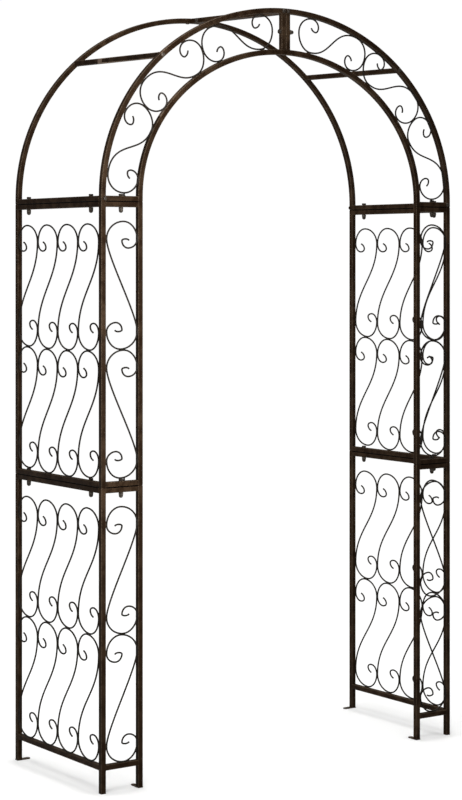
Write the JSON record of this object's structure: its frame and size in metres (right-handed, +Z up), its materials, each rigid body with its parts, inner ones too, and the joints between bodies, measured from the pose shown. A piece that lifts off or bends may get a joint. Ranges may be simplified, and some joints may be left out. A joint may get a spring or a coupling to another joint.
{
  "type": "metal trellis arch",
  "caption": "Free-standing garden arch of dark square tube: L-plan towers filled with S-scroll rods carry a bolted round top with a scroll band along its front.",
  "frame": {"origin": "on the ground, midway between the two towers and midway between the front and back posts", "axes": "+X across the passage toward the right tower, +Y from the scroll band at the front toward the single arch at the back, +Z up"},
  "size_m": [1.3, 0.5, 2.284],
  "materials": {
    "tube_paint": "dark bronze-brown powder coat, satin, faintly mottled",
    "rod_paint": "dark bronze-brown powder coat, satin, a little darker than the tube",
    "fastener": "dark bronze-brown coating over steel, a little greyer and glossier than the tube"
  },
  "bodies": {
    "root": {"left_lower_post_outer_back": "tube_paint", "left_lower_post_outer_front": "tube_paint", "left_lower_post_inner_front": "tube_paint", "left_lower_side_scrollwork": "rod_paint", "left_lower_side_top_rail": "tube_paint", "left_lower_wing_scrollwork": "rod_paint", "left_lower_wing_top_rail": "tube_paint", "left_upper_post_outer_back": "tube_paint", "left_upper_post_outer_front": "tube_paint", "left_upper_post_inner_front": "tube_paint", "left_upper_side_scrollwork": "rod_paint", "left_upper_side_top_rail": "tube_paint", "left_upper_wing_scrollwork": "rod_paint", "left_upper_wing_top_rail": "tube_paint", "left_outer_arch": "tube_paint", "left_inner_arch": "tube_paint", "left_back_arch": "tube_paint", "left_band_scrolls": "rod_paint", "left_side_base_rail": "tube_paint", "left_wing_base_rail": "tube_paint", "left_crown_upright": "tube_paint", "left_crown_bar": "tube_paint", "left_arch_brace": "tube_paint", "left_middle_bolt_front": "fastener", "left_middle_bolt_back": "fastener", "left_middle_bolt_wing": "fastener", "left_top_bolt_front": "fastener", "left_top_bolt_back": "fastener", "left_top_bolt_wing": "fastener", "right_lower_post_outer_back": "tube_paint", "right_lower_post_outer_front": "tube_paint", "right_lower_post_inner_front": "tube_paint", "right_lower_side_scrollwork": "rod_paint", "right_lower_side_top_rail": "tube_paint", "right_lower_wing_scrollwork": "rod_paint", "right_lower_wing_top_rail": "tube_paint", "right_upper_post_outer_back": "tube_paint", "right_upper_post_outer_front": "tube_paint", "right_upper_post_inner_front": "tube_paint", "right_upper_side_scrollwork": "rod_paint", "right_upper_side_top_rail": "tube_paint", "right_upper_wing_scrollwork": "rod_paint", "right_upper_wing_top_rail": "tube_paint", "right_outer_arch": "tube_paint", "right_inner_arch": "tube_paint", "right_back_arch": "tube_paint", "right_band_scrolls": "rod_paint", "right_side_base_rail": "tube_paint", "right_wing_base_rail": "tube_paint", "right_crown_upright": "tube_paint", "right_crown_bar": "tube_paint", "right_arch_brace": "tube_paint", "right_middle_bolt_front": "fastener", "right_middle_bolt_back": "fastener", "right_middle_bolt_wing": "fastener", "right_top_bolt_front": "fastener", "right_top_bolt_back": "fastener", "right_top_bolt_wing": "fastener", "crown_bolt_front": "fastener", "crown_bolt_back": "fastener"}
  },
  "joints": []
}
